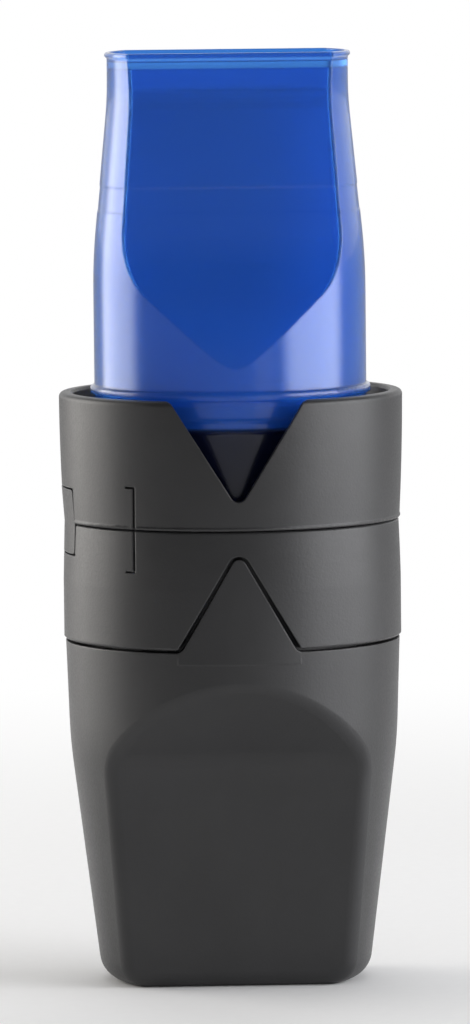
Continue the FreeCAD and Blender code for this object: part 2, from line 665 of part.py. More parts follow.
def makeLeaf():
    """Flat leaf spring behind the latch, threaded on its stem."""
    body = newBody("latch_spring")
    back = "sqrt((latchRadius - latchThickness)^2 - leafHalfWidth^2)"
    sketch = newSketch(body, "YZ_Plane", f"-({back} - leafThickness)")
    loop(sketch, rectangle("-leafHalfWidth", "leafHalfWidth", "latchLow + 1", "latchTop - 1"))
    disc(sketch, "0", "latchMiddle", "latchStem + 0.1")
    extrude(body, "Pad", sketch, "leafThickness", reverse=True)
    return body


def makeValveBody():
    """Neck, partition with the inlet opening and the exhale ports, and the tube below it."""
    body = newBody("valve_body")
    turn(body, [
        ("inletRadius", "plateHeight"),
        ("bodyRadius - bodyWall", "plateHeight"),
        ("bodyRadius - bodyWall", "bodyLow"),
        ("bodyRadius", "bodyLow"),
        *grooveCorners("bodyRadius", "bodySealHeight", "bodySealRadius"),
        ("bodyRadius", "ledgeHeight"),
        ("neckRadius", "ledgeHeight"),
        *grooveCorners("neckRadius", "neckSealHeight", "neckSealRadius"),
        ("neckRadius", "neckTop - bodyWall / 3"),
        ("neckRadius - bodyWall / 3", "neckTop"),
        ("neckRadius - bodyWall", "neckTop"),
        ("neckRadius - bodyWall", "plateTop"),
        ("inletRadius", "plateTop"),
    ])
    bosses = newSketch(body, "XY_Plane", "plateHeight")
    for angle in (30, 150, 270):
        disc(bosses, f"lugCircle * cos({angle})", f"lugCircle * sin({angle})", "screwHead")
    extrude(body, "Pad", bosses, "screwLength + 1")
    holes = newSketch(body, "XY_Plane", "plateHeight")
    for angle in (30, 150, 270):
        disc(holes, f"lugCircle * cos({angle})", f"lugCircle * sin({angle})", "screwRadius")
    extrude(body, "Pocket", holes, "screwLength", reverse=True)
    ports = newSketch(body, "XY_Plane", "plateHeight")
    disc(ports, "0", "portCircle", "flapStem")
    for index in range(4):
        angle = 45 + 90 * index
        disc(ports, f"portSpread * cos({angle})", f"portCircle + portSpread * sin({angle})", "portRadius")
    extrude(body, "Pocket", ports, "plateThickness", reverse=True)
    stem = newSketch(body, "YZ_Plane", "-(stemEnd - latchTravel - 0.2)")
    disc(stem, "0", "latchMiddle", "latchStem + rodClearance")
    extrude(body, "Pocket", stem, "bodyWall + 2")
    return body


def grooveCorners(wall, height, sealRadius):
    """Corners of a square groove for a ring seal, going up the wall."""
    floor = f"({sealRadius} - 2 * sealWire)"
    return [(wall, f"{height} - sealWire"), (floor, f"{height} - sealWire"),
            (floor, f"{height} + sealWire"), (wall, f"{height} + sealWire")]


def makeSeal(name, radius, height):
    """Ring seal whose outside is at a radius."""
    torus = doc.addObject("Part::Torus", name)
    torus.Label = name
    torus.setExpression("Radius1", formula(f"{radius} - sealWire"))
    torus.setExpression("Radius2", formula("sealWire"))
    torus.setExpression(".Placement.Base.z", formula(height))
    doc.recompute()
    return torus


def makeGuide():
    """Spider in the inlet opening that guides the rod."""
    body = washer("stem_guide", "rodBore", "hubRadius", "plateHeight", "guideThickness")
    rim = newSketch(body, "XY_Plane", "plateHeight")
    disc(rim, "0", "0", "inletRadius")
    disc(rim, "0", "0", "inletRadius - 1")
    extrude(body, "Pad", rim, "guideThickness")
    spokes = newSketch(body, "XY_Plane", "plateHeight")
    loop(spokes, rectangle("hubRadius - 0.5", "inletRadius - 0.3", "-spokeWidth / 2", "spokeWidth / 2"))
    pad = extrude(body, "Pad", spokes, "guideThickness")
    return repeat(body, pad, 3)


def repeat(body, feature, count):
    """Repeat a feature round the body's axis."""
    pattern = body.newObject("PartDesign::PolarPattern", f"{body.Name}_pattern")
    pattern.Originals = [feature]
    pattern.Axis = (next(item for item in body.Origin.OriginFeatures if item.Role == "Z_Axis"), [""])
    pattern.Angle = 360
    pattern.setExpression("Occurrences", formula(count))
    body.Tip = pattern
    doc.recompute()
    return body


def makeKnob():
    """Fluted adjuster knob with a socket for the rod and a recess for its screw."""
    top = "(knobBottom + knobHeight)"
    body = turned("adjuster_knob", [
        ("screwRadius", "knobBottom + screwHeadHeight"),
        ("screwHead + 0.2", "knobBottom + screwHeadHeight"),
        ("screwHead + 0.2", "knobBottom"),
        ("knobRadius - 1", "knobBottom"),
        ("knobRadius", "knobBottom + 1"),
        ("knobRadius", f"{top} - 1"),
        ("knobRadius - 1", top),
        ("rodRadius", top),
        ("rodRadius", "rodBottom"),
        ("screwRadius", "rodBottom"),
    ])
    flute = newSketch(body, "XY_Plane", "knobBottom")
    disc(flute, "knobRadius + fluteRadius - fluteDepth", "0", "fluteRadius")
    cut = extrude(body, "Pocket", flute, "knobHeight", reverse=True)
    return repeat(body, cut, "knobFlutes")


def makeCage():
    """Slotted cage round the load spring, with three screw lugs at its top."""
    neckOutside = "(inletRadius + cageWall)"
    body = turned("spring_cage", [
        ("rodBore", "cageLow"),
        ("cageRadius", "cageLow"),
        ("cageRadius", "cageNeck"),
        (neckOutside, "cageNeck + cageStop"),
        (neckOutside, "plateHeight"),
        ("inletRadius", "plateHeight"),
        ("inletRadius", "cageNeck + cageStop"),
        ("springRadius - 2", "cageNeck + cageStop"),
        ("springRadius - 2", "cageNeck"),
        ("cageBore", "cageNeck"),
        ("cageBore", "cageLow + cageFloor"),
        ("rodBore", "cageLow + cageFloor"),
    ])
    across(body, "Pocket", "XZ_Plane", [rectangle("-slotHalfWidth", "slotHalfWidth", "slotLow", "slotHigh")])
    sides = rectangle("-slotHalfWidth", "slotHalfWidth", "slotLow", "airSlotTop")
    across(body, "Pocket", "YZ_Plane", [sides])
    for angle in (30, 150, 270):
        lug = newSketch(body, "XY_Plane", "plateHeight - lugThickness")
        arm(lug, angle)
        extrude(body, "Pad", lug, "lugThickness")
    holes = newSketch(body, "XY_Plane", "plateHeight")
    for angle in (30, 150, 270):
        disc(holes, f"lugCircle * cos({angle})", f"lugCircle * sin({angle})", "screwRadius")
    extrude(body, "Pocket", holes, "lugThickness")
    return body


def arm(sketch, angle):
    """Outline of a screw lug that reaches out from the cage's neck at an angle."""
    def at(along, aside):
        return (f"{along} * cos({angle}) - ({aside}) * sin({angle})",
                f"{along} * sin({angle}) + ({aside}) * cos({angle})")
    start = "(inletRadius + 0.8)"
    loop(sketch, [at(start, "-lugRadius"), at("lugCircle", "-lugRadius") + ("lugRadius", 1),
                  at("(lugCircle + lugRadius)", "0") + ("lugRadius", 1),
                  at("lugCircle", "lugRadius"), at(start, "lugRadius")])


def makeNut():
    """Nut that rides up the rod, with an arm in each of the front and back slots."""
    body = turned("tension_nut", rectangle("rodBore", "nutRadius", "nutLow", "nutTop"))
    arms = newSketch(body, "XY_Plane", "nutLow")
    reach = "(slotHalfWidth - nutArmGap)"
    for low, high in (("-nutArm", "-(nutRadius - 1)"), ("nutRadius - 1", "nutArm")):
        loop(arms, rectangle(f"-{reach}", reach, low, high))
    extrude(body, "Pad", arms, "nutHeight - 1")
    return body


def makePointer():
    """Arrow plate on the nut's front arm."""
    body = newBody("load_pointer")
    sketch = newSketch(body, "XZ_Plane")
    middle = "(nutLow + nutHeight / 2 - 0.5)"
    reach = "(slotHalfWidth - nutArmGap)"
    loop(sketch, [(reach, f"{middle} - 2"), (reach, f"{middle} + 2"), ("-0.5", f"{middle} + 2"),
                  (f"-{reach} - 1.4", middle), ("-0.5", f"{middle} - 2")])
    extrude(body, "Pad", sketch, "pointerThickness")
    body.setExpression(".Placement.Base.y", formula("-nutArm"))
    doc.recompute()
    return body


def makeSpring():
    """Compression spring of half rings, each one tilted the other way from the one below it."""
    rise = "(springHigh - springLow - 2 * springWire - 2 * springPlay) / (2 * springTurns)"
    tilt = math.degrees(math.atan(value(f"{rise} / (2 * springRadius)")))
    halves = []
    for step in range(int(value("2 * springTurns"))):
        half = doc.addObject("Part::Torus", "spring_half")
        half.setExpression("Radius1", formula(f"sqrt(springRadius ^ 2 + ({rise} / 2) ^ 2)"))
        half.setExpression("Radius2", formula("springWire"))
        half.Angle3 = 180
        side = FreeCAD.Rotation(FreeCAD.Vector(0, 0, 1), 180 * (step % 2))
        lean = FreeCAD.Rotation(FreeCAD.Vector(0, 1, 0), -tilt if step % 2 else tilt)
        half.Placement.Rotation = lean * side
        middle = f"springLow + springWire + springPlay + ({step} + 0.5) * {rise}"
        half.setExpression(".Placement.Base.z", formula(middle))
        halves.append(half)
    spring = doc.addObject("Part::MultiFuse", "load_spring")
    spring.Label = "load_spring"
    spring.Shapes = halves
    doc.recompute()
    return spring


def makeScrews():
    """The three screws that hold the cage, heads down."""
    body = newBody("cage_screw")
    low = "(plateHeight - lugThickness)"
    sketch = newSketch(body, "XZ_Plane")
    loop(sketch, [("0", f"{low} - screwHeadHeight"), ("screwHead - 0.4", f"{low} - screwHeadHeight"),
                  ("screwHead", f"{low} - screwHeadHeight + 0.4"), ("screwHead", low), ("screwRadius", low),
                  ("screwRadius", "plateHeight + screwLength - 0.5"), ("0", "plateHeight + screwLength")])
    feature = body.newObject("PartDesign::Revolution", "screw_turn")
    feature.Profile = sketch
    feature.ReferenceAxis = (sketch, ["V_Axis"])
    doc.recompute()
    group = doc.addObject("Part::Feature", "cage_screws")
    circle = value("lugCircle")
    places = [FreeCAD.Vector(circle * math.cos(a), circle * math.sin(a), 0)
              for a in (math.radians(angle) for angle in (30, 150, 270))]
    group.Shape = Part.Compound([body.Shape.translated(place) for place in places])
    return group


def makeScale():
    """Curved scale strip on the cage, to the left of the front slot."""
    sleeve = turned("scale_sleeve", rectangle("cageRadius", "cageRadius + scaleThickness",
                                              "scaleLow", "scaleHigh"))
    block = newBody("scale_block")
    sketch = newSketch(block, "XZ_Plane")
    loop(sketch, rectangle("-(cageRadius - 2)", "-(slotHalfWidth + 1.8)", "scaleLow", "scaleHigh"))
    extrude(block, "Pad", sketch, "far")
    return combine("Common", "load_scale", sleeve, block)


def makeFlap():
    """Soft flap under the exhale ports, on its own stem."""
    low = "(plateHeight - seatGap - flapThickness)"
    body = turned("exhale_flap", [
        ("0", low),
        ("flapRadius", low),
        ("flapRadius", "plateHeight - seatGap"),
        ("flapStem - rodClearance", "plateHeight - seatGap"),
        ("flapStem - rodClearance", "buttonLow + buttonHeight"),
        ("0", "buttonLow + buttonHeight"),
    ])
    body.setExpression(".Placement.Base.y", formula("portCircle"))
    return body


def makeRetainer():
    """Button that holds the flap's stem above the partition."""
    bore = "(flapStem - rodClearance)"
    body = turned("exhale_retainer", rectangle(bore, f"{bore} + buttonReach", "buttonLow",
                                               "buttonLow + buttonHeight"))
    body.setExpression(".Placement.Base.y", formula("portCircle"))
    return body


def oval(name, halfWidth, halfDepth, level):
    """Oval wire at a level."""
    wire = doc.addObject("Part::Ellipse", name)
    wire.setExpression("MajorRadius", formula(halfWidth))
    wire.setExpression("MinorRadius", formula(halfDepth))
    wire.setExpression(".Placement.Base.z", formula(level))
    return wire


def ovalSolid(name, inset, low, high, rim):
    """Outside or inside of the mouthpiece: round foot, flattening neck, oval tube and bite rim."""
    foot = f"(neckRadius + mouthGap + mouthBaseWall - {inset})"
    wide = f"(mouthHalfWidth - {inset})"
    deep = f"(mouthHalfDepth - {inset})"
    levels = [
        (foot, foot, low),
        (foot, foot, "mouthBaseTop"),
        (f"({foot} * 0.8 + {wide} * 0.2)", f"({foot} * 0.8 + {deep} * 0.2)", "(mouthBaseTop + mouthBlend)"),
        (f"({foot} * 0.2 + {wide} * 0.8)", f"({foot} * 0.2 + {deep} * 0.8)", "(mouthWaist - mouthBlend)"),
        (wide, deep, "mouthWaist"),
    ]
    if rim:
        levels += [(wide, deep, "(mouthTop - biteHeight)"),
                   (f"{wide} + biteRim", f"{deep} + biteRim", "(mouthTop - biteHeight * 0.6)"),
                   (f"{wide} + biteRim", f"{deep} + biteRim", "(mouthTop - biteHeight * 0.3)")]
    levels.append((wide, deep, high))
    loft = doc.addObject("Part::Loft", name)
    loft.Sections = [oval(f"{name}_oval", *level) for level in levels]
    loft.Solid = True
    loft.Ruled = True
    doc.recompute()
    return loft


def makeMouthpiece():
    """Flexible mouthpiece: round foot on the neck, flattened tube, and a bite rim."""
    outside = ovalSolid("mouth_outside", "0", "ledgeHeight + mouthBaseFloor", "mouthTop", True)
    inside = ovalSolid("mouth_inside", "mouthBaseWall", "ledgeHeight", "mouthTop + 1", False)
    return combine("Cut", "mouthpiece", outside, inside)


def coverProfile(inset, low, high, band=False):
    """Half outline of the cover: round, then a taper between two bends, then upright to the top."""
    first = f"(taperBend - {inset})"
    second = f"(topBend + {inset})"
    radius = f"(coverRadius - {inset})"
    taperLow = f"(taperStart + {first} * sin(coverTaper))"
    taperLowRadius = f"({radius} - {first} * (1 - cos(coverTaper)))"
    taperHighRadius = f"({taperLowRadius} - (taperEnd - {taperLow}) * tan(coverTaper))"
    topRadius = f"({taperHighRadius} - {second} * (1 - cos(coverTaper)))"
    bandRadius = f"({taperLowRadius} - (bandLow - {taperLow}) * tan(coverTaper))"
    return [
        ("0", low),
        (radius, low),
        (radius, "taperStart", first, 1),
        (taperLowRadius, taperLow),
        *(bandCorners(bandRadius, "coverTaper") if band else []),
        (taperHighRadius, "taperEnd", second, -1),
        (topRadius, f"taperEnd + {second} * sin(coverTaper)"),
        (topRadius, high),
        ("0", high),
    ]


def bandCorners(wall, lean):
    """Corners of the shallow band, going up a wall that leans inwards."""
    top = f"({wall} - bandHeight * tan({lean}))"
    return [(wall, "bandLow"), (f"{wall} - bandDepth", "bandLow + bandDepth"),
            (f"{top} - bandDepth", "bandLow + bandHeight - bandDepth"), (top, "bandLow + bandHeight")]


def coverFace(inset, high, band=False):
    """What is cut off in front of a flat face, in (depth, height), from the top down."""
    outerBend = "(coverDepth + (coverTop - faceBend) * tan(coverLean))"
    bend = f"({outerBend} - {inset} / cos(coverLean))"
    first = f"(flareRadius + {inset})"
    steep = f"({bend} + {first} * (cos(coverLean) - cos(flareAngle)))"
    steepHeight = f"(faceBend + {first} * (sin(coverLean) - sin(flareAngle)))"
    outerSteep = f"({outerBend} + flareRadius * (cos(coverLean) - cos(flareAngle)))"
    second = f"((coverRadius + 0.15 - {outerSteep}) / (1 - cos(flareAngle)) - {inset})"
    endHeight = f"({steepHeight} - {second} * sin(flareAngle))"
    bandDepth = f"({bend} - (bandLow - faceBend) * tan(coverLean))"
    return [
        (f"{bend} - ({high} - faceBend) * tan(coverLean)", high),
        *(reversed(bandCorners(bandDepth, "coverLean")) if band else []),
        (bend, "faceBend", first, 1),
        (steep, steepHeight, second, -1),
        (f"{steep} + {second} * (1 - cos(flareAngle))", endHeight),
        ("far", endHeight),
        ("far", high),
    ]


def faced(name, outline, inset, band=False):
    """Turn an outline and cut its flat faces front and back."""
    body = newBody(name)
    turn(body, outline)
    face = coverFace(inset, "(coverTop + 2)", band)
    across(body, "Pocket", "YZ_Plane", [face, flipped(face)])
    return body


def makeCover():
    """Translucent cover over the mouthpiece."""
    outside = faced("cover_outside", coverProfile("0", "coverFoot", "coverTop", True), "0", True)
    flangeTop = "(flangeHeight + flangeThickness)"
    skirt = turned("cover_rings", [
        ("cavityRadius", "flangeHeight - 3 * beadPitch"),
        *beadCorners("(flangeHeight - 3 * beadPitch)"),
        *beadCorners("(flangeHeight - 2 * beadPitch)"),
        ("coverRadius", "flangeHeight"),
        ("coverRadius + coverFlange", "flangeHeight + 0.3"),
        ("coverRadius + coverFlange", f"{flangeTop} - flangeEdge", "flangeEdge", 1),
        ("coverRadius + coverFlange - flangeEdge", flangeTop),
        ("cavityRadius", flangeTop),
    ])
    topRadius = coverProfile("0", "coverFoot", "coverTop")[-2][0]
    lipLow = "(coverTop - lipHeight)"
    lip = faced("cover_lip", [
        ("0", lipLow),
        (topRadius, lipLow),
        (f"{topRadius} + lipReach", f"{lipLow} + lipReach"),
        (f"{topRadius} + lipReach", "coverTop - lipReach", "lipReach", 1),
        (topRadius, "coverTop"),
        ("0", "coverTop"),
    ], "(0 - lipReach)")
    roof = "(coverTop - topRecess)"
    cavity = coverProfile("coverWall", "(coverFoot - 1)", f"({roof} - coverWall)")
    inside = faced("cover_inside", cavity, "coverWall")
    inner = f"({topRadius} + lipReach - lipWidth)"
    recess = faced("cover_recess", rectangle("0", inner, roof, "coverTop + 1"), "(lipWidth - lipReach)")
    solid = combine("Fuse", "cover_ringed", outside, skirt)
    solid = combine("Fuse", "cover_lipped", solid, lip)
    solid = combine("Cut", "cover_hollow", solid, inside)
    return combine("Cut", "mouthpiece_cover", solid, recess)


def beadCorners(low):
    """Corners of a fine bead, going up the skirt."""
    return [("coverRadius", low), ("coverRadius + beadDepth", f"{low} + beadHeight / 2"),
            ("coverRadius", f"{low} + beadHeight")]


pieces = [
    makeHandle(),
    makeRing(),
    makeCollar(),
    makeLatch(),
    makeLeaf(),
    makeValveBody(),
    makeSeal("body_seal", "bodySealRadius", "bodySealHeight"),
    makeSeal("neck_seal", "neckSealRadius", "neckSealHeight"),
    washer("inlet_seat", "inletRadius", "inletRadius + seatWidth", "plateTop", "seatHeight"),
    makeGuide(),
    makeFlap(),
    makeRetainer(),
    washer("valve_seal", "hubRadius + 1", "discRadius", "faceLow", "faceThickness"),
    turned("valve_disc", [("neckBore", "faceLow"), ("hubRadius + 1", "faceLow"),
                          ("hubRadius + 1", "discLow"), ("discRadius", "discLow"),
                          ("discRadius - 0.5", "discTop"), ("neckBore", "discTop")]),
    washer("stem_clip", "rodNeck", "hubRadius", "(discTop + rodClearance)", "clipThickness"),
    turned("threaded_rod", [("0", "rodBottom + screwDepth"), ("screwRadius", "rodBottom + screwDepth"),
                            ("screwRadius", "rodBottom"), ("rodRadius", "rodBottom"),
                            ("rodRadius", "faceLow - rodClearance"), ("rodNeck", "faceLow - rodClearance"),
                            ("rodNeck", "rodTop - 0.5"), ("rodNeck - 0.5", "rodTop"), ("0", "rodTop")]),
    makeKnob(),
    turned("knob_screw", [("0", "knobBottom + 0.2"), ("screwHead", "knobBottom + 0.2"),
                          ("screwHead", "knobBottom + screwHeadHeight"),
                          ("screwRadius", "knobBottom + screwHeadHeight"),
                          ("screwRadius", "rodBottom + screwDepth - 0.5"),
                          ("0", "rodBottom + screwDepth - 0.5")]),
    makeNut(),
    makePointer(),
    washer("nut_washer", "rodRadius + 0.4", "nutRadius", "nutTop", "washerThickness"),
    makeSpring(),
    washer("spring_stop", "springRadius - 2", "cageBore", "springHigh", "stopThickness"),
    makeCage(),
    makeScrews(),
    makeScale(),
    makeMouthpiece(),
    makeCover(),
]

for item in doc.Objects:
    if "Invalid" in item.State or "Error" in item.State:
        raise ValueError(f"{item.Label} failed: {item.State}")
os.makedirs("parts", exist_ok=True)
for piece in pieces:
    if piece.Shape.isNull() or not piece.Shape.isValid():
        raise ValueError(f"{piece.Label} has no valid shape")
    print(piece.Label, len(piece.Shape.Solids), round(piece.Shape.Volume, 1))
    piece.Shape.exportStep(f"parts/{piece.Label}.step")
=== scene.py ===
import json
import math

import bpy
from mathutils import Matrix, Vector


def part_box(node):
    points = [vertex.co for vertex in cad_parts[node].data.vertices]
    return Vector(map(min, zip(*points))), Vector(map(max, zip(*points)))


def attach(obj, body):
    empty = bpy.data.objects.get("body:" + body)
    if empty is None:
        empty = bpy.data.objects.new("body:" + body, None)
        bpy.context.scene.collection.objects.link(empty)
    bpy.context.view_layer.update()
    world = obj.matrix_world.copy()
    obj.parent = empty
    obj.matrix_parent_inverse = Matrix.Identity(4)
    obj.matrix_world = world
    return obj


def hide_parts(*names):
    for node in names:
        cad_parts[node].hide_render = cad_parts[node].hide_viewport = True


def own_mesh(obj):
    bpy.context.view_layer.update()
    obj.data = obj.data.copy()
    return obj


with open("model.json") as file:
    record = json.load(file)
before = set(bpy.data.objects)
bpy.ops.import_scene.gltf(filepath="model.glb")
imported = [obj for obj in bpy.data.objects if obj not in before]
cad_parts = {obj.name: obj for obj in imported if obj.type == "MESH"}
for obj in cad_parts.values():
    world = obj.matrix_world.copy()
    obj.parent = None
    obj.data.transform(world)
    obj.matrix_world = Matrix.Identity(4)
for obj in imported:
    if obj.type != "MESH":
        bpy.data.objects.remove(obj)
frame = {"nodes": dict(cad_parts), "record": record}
for spare in ("Cube", "Camera", "Light"):  # what an empty Blender file starts with
    found = bpy.data.objects.get(spare)
    if found:
        bpy.data.objects.remove(found)
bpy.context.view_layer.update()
cadNodes = frame["nodes"]
print("frame loaded,", len(cadNodes), "parts")


shot = {"distance": 1.49, "azimuth": -2.4, "elevation": 5.0, "roll": -0.57,
        "focalLength": 295.0, "sensorSize": 36.0, "aimHeight": 0.0832, "aimAside": 0.0006}


def makeCamera():
    turn, lift = math.radians(shot["azimuth"]), math.radians(shot["elevation"])
    back = Vector((math.sin(turn) * math.cos(lift), -math.cos(turn) * math.cos(lift), math.sin(lift)))
    aside = Vector((math.cos(turn), math.sin(turn), 0))
    aim = Vector((0, 0, shot["aimHeight"])) + aside * shot["aimAside"]
    data = bpy.data.cameras.new("studioCamera")
    data.lens = shot["focalLength"]
    data.sensor_width = shot["sensorSize"]
    data.clip_start = 0.05
    data.clip_end = 60
    camera = bpy.data.objects.new("studioCamera", data)
    bpy.context.scene.collection.objects.link(camera)
    camera.rotation_mode = "QUATERNION"
    level = (-back).to_track_quat("-Z", "Y")
    camera.rotation_quaternion = level @ Matrix.Rotation(math.radians(shot["roll"]), 3, "Z").to_quaternion()
    camera.location = aim + back * shot["distance"]
    bpy.context.scene.camera = camera


makeCamera()


def addNode(tree, kind, inputs=None, **settings):
    node = tree.nodes.new(kind)
    for name, value in settings.items():
        setattr(node, name, value)
    for name, value in (inputs or {}).items():
        if isinstance(value, bpy.types.NodeSocket):
            tree.links.new(value, node.inputs[name])
        else:
            node.inputs[name].default_value = value
    return node


def blendColour(tree, share, first, second, mode="MIX"):
    node = addNode(tree, "ShaderNodeMix", data_type="RGBA", blend_type=mode)
    for place, value in ((0, share), (6, first), (7, second)):
        if isinstance(value, bpy.types.NodeSocket):
            tree.links.new(value, node.inputs[place])
        else:
            node.inputs[place].default_value = value
    return node.outputs[2]


def sums(tree, operation, first, second=None, clamp=False):
    node = addNode(tree, "ShaderNodeMath", operation=operation, use_clamp=clamp)
    for place, value in enumerate((first, second)):
        if value is None:
            continue
        if isinstance(value, bpy.types.NodeSocket):
            tree.links.new(value, node.inputs[place])
        else:
            node.inputs[place].default_value = value
    return node.outputs[0]


def spread(tree, value, low, high, lowResult, highResult):
    node = addNode(tree, "ShaderNodeMapRange", {"Value": value, "From Min": low, "From Max": high,
                                                "To Min": lowResult, "To Max": highResult})
    return node.outputs["Result"]


def newGroup(name, inputs, outputs):
    group = bpy.data.node_groups.new(name, "ShaderNodeTree")
    for label, kind, value in inputs:
        socket = group.interface.new_socket(name=label, in_out="INPUT", socket_type=kind)
        if value is not None:
            socket.default_value = value
    for label, kind in outputs:
        group.interface.new_socket(name=label, in_out="OUTPUT", socket_type=kind)
    return group, group.nodes.new("NodeGroupInput"), group.nodes.new("NodeGroupOutput")


grainPattern = {"detail": 2.0, "roughness": 0.55, "pitScale": 0.7, "pitShare": 0.4}


def makeMouldGrain():
    # the fine pebble that a spark-eroded mould leaves on plastic
    group, given, result = newGroup(
        "mouldGrain",
        [("Vector", "NodeSocketVector", None), ("Grain Size", "NodeSocketFloat", 0.0004),
         ("Depth", "NodeSocketFloat", 1.0)],
        [("Height", "NodeSocketFloat"), ("Mask", "NodeSocketFloat")])
    scale = sums(group, "DIVIDE", 1.0, given.outputs["Grain Size"])
    pebble = addNode(group, "ShaderNodeTexNoise", {"Vector": given.outputs["Vector"], "Scale": scale,
                                                   "Detail": grainPattern["detail"],
                                                   "Roughness": grainPattern["roughness"]})
    pits = addNode(group, "ShaderNodeTexVoronoi", {"Vector": given.outputs["Vector"],
                                                   "Scale": sums(group, "MULTIPLY", scale,
                                                                 grainPattern["pitScale"])})
    pitted = sums(group, "MULTIPLY", pits.outputs["Distance"], grainPattern["pitShare"])
    height = sums(group, "ADD", pebble.outputs["Fac"], pitted)
    group.links.new(sums(group, "MULTIPLY", height, given.outputs["Depth"]), result.inputs["Height"])
    group.links.new(pebble.outputs["Fac"], result.inputs["Mask"])
    return group


def makeColourDrift():
    # slow changes of tone in a moulded colour
    group, given, result = newGroup(
        "colourDrift",
        [("Vector", "NodeSocketVector", None), ("Colour", "NodeSocketColor", (0.5, 0.5, 0.5, 1)),
         ("Other Colour", "NodeSocketColor", (0.6, 0.6, 0.6, 1)), ("Patch Size", "NodeSocketFloat", 0.02)],
        [("Colour", "NodeSocketColor"), ("Mask", "NodeSocketFloat")])
    scale = sums(group, "DIVIDE", 1.0, given.outputs["Patch Size"])
    cloud = addNode(group, "ShaderNodeTexNoise", {"Vector": given.outputs["Vector"], "Scale": scale,
                                                  "Detail": 4.0, "Roughness": 0.6})
    share = spread(group, cloud.outputs["Fac"], 0.35, 0.65, 0.0, 1.0)
    group.links.new(blendColour(group, share, given.outputs["Colour"], given.outputs["Other Colour"]),
                    result.inputs["Colour"])
    group.links.new(share, result.inputs["Mask"])
    return group


edgeWearAndHighlightPattern = {"flatLikeness": 0.995, "sharpLikeness": 0.86, "scale": 260.0, "detail": 5.0,
               "roughness": 0.7, "least": 0.15}


def makeEdgeWearAndHighlight():
    # corners moulded with a small radius and rubbed a little shinier; painted paler, partly from rubbing and
    # partly as a painted highlight along the edges
    group, given, result = newGroup(
        "edgeWearAndHighlight",
        [("Vector", "NodeSocketVector", None), ("Width", "NodeSocketFloat", 0.0004),
         ("Amount", "NodeSocketFloat", 1.0)],
        [("Mask", "NodeSocketFloat"), ("Normal", "NodeSocketVector")])
    rounded = addNode(group, "ShaderNodeBevel", {"Radius": given.outputs["Width"]}, samples=6)
    facing = addNode(group, "ShaderNodeNewGeometry")
    likeness = addNode(group, "ShaderNodeVectorMath", operation="DOT_PRODUCT")
    group.links.new(rounded.outputs["Normal"], likeness.inputs[0])
    group.links.new(facing.outputs["Normal"], likeness.inputs[1])
    corner = spread(group, likeness.outputs["Value"],
                    edgeWearAndHighlightPattern["flatLikeness"], edgeWearAndHighlightPattern["sharpLikeness"], 0.0, 1.0)
    breaks = addNode(group, "ShaderNodeTexNoise", {"Vector": given.outputs["Vector"],
                                                   "Scale": edgeWearAndHighlightPattern["scale"],
                                                   "Detail": edgeWearAndHighlightPattern["detail"],
                                                   "Roughness": edgeWearAndHighlightPattern["roughness"]})
    patchy = spread(group, breaks.outputs["Fac"], 0.38, 0.6, edgeWearAndHighlightPattern["least"], 1.0)
    group.links.new(sums(group, "MULTIPLY", sums(group, "MULTIPLY", corner, patchy), given.outputs["Amount"]),
                    result.inputs["Mask"])
    group.links.new(rounded.outputs["Normal"], result.inputs["Normal"])
    return group


filmPattern = {"scale": 70.0, "detail": 6.0, "roughness": 0.65, "twist": 0.8, "onSides": 0.35}


def makeHandledFilm():
    # faint smears and settled dust, a little more of it on faces that look up
    group, given, result = newGroup(
        "handledFilm",
        [("Vector", "NodeSocketVector", None), ("Amount", "NodeSocketFloat", 1.0)],
        [("Mask", "NodeSocketFloat")])
    smear = addNode(group, "ShaderNodeTexNoise", {"Vector": given.outputs["Vector"],
                                                  "Scale": filmPattern["scale"],
                                                  "Detail": filmPattern["detail"],
                                                  "Roughness": filmPattern["roughness"],
                                                  "Distortion": filmPattern["twist"]})
    facing = addNode(group, "ShaderNodeNewGeometry")
    upward = addNode(group, "ShaderNodeSeparateXYZ", {"Vector": facing.outputs["Normal"]})
    tops = spread(group, upward.outputs["Z"], 0.1, 1.0, filmPattern["onSides"], 1.0)
    soft = spread(group, smear.outputs["Fac"], 0.42, 0.75, 0.0, 1.0)
    group.links.new(sums(group, "MULTIPLY", sums(group, "MULTIPLY", soft, tops), given.outputs["Amount"]),
                    result.inputs["Mask"])
    return group


mouldGrain = makeMouldGrain()
colourDrift = makeColourDrift()
edgeWearAndHighlight = makeEdgeWearAndHighlight()
handledFilm = makeHandledFilm()


def placeGroup(tree, group, inputs):
    return addNode(tree, "ShaderNodeGroup", inputs, node_tree=group)


def startMaterial(name):
    material = bpy.data.materials.new(name)
    material.use_nodes = True
    tree = material.node_tree
    tree.nodes.clear()
    shader = tree.nodes.new("ShaderNodeBsdfPrincipled")
    out = tree.nodes.new("ShaderNodeOutputMaterial")
    tree.links.new(shader.outputs["BSDF"], out.inputs["Surface"])
    where = tree.nodes.new("ShaderNodeTexCoord").outputs["Object"]
    return material, tree, shader, where


moulded = {"patch": 0.02, "dustShare": 0.03, "dustColour": (0.55, 0.53, 0.5, 1), "roughSpread": 0.05,
           "filmRoughness": 0.10, "wearPolish": 0.14, "index": 1.5, "softRadius": (0.004, 0.004, 0.004)}


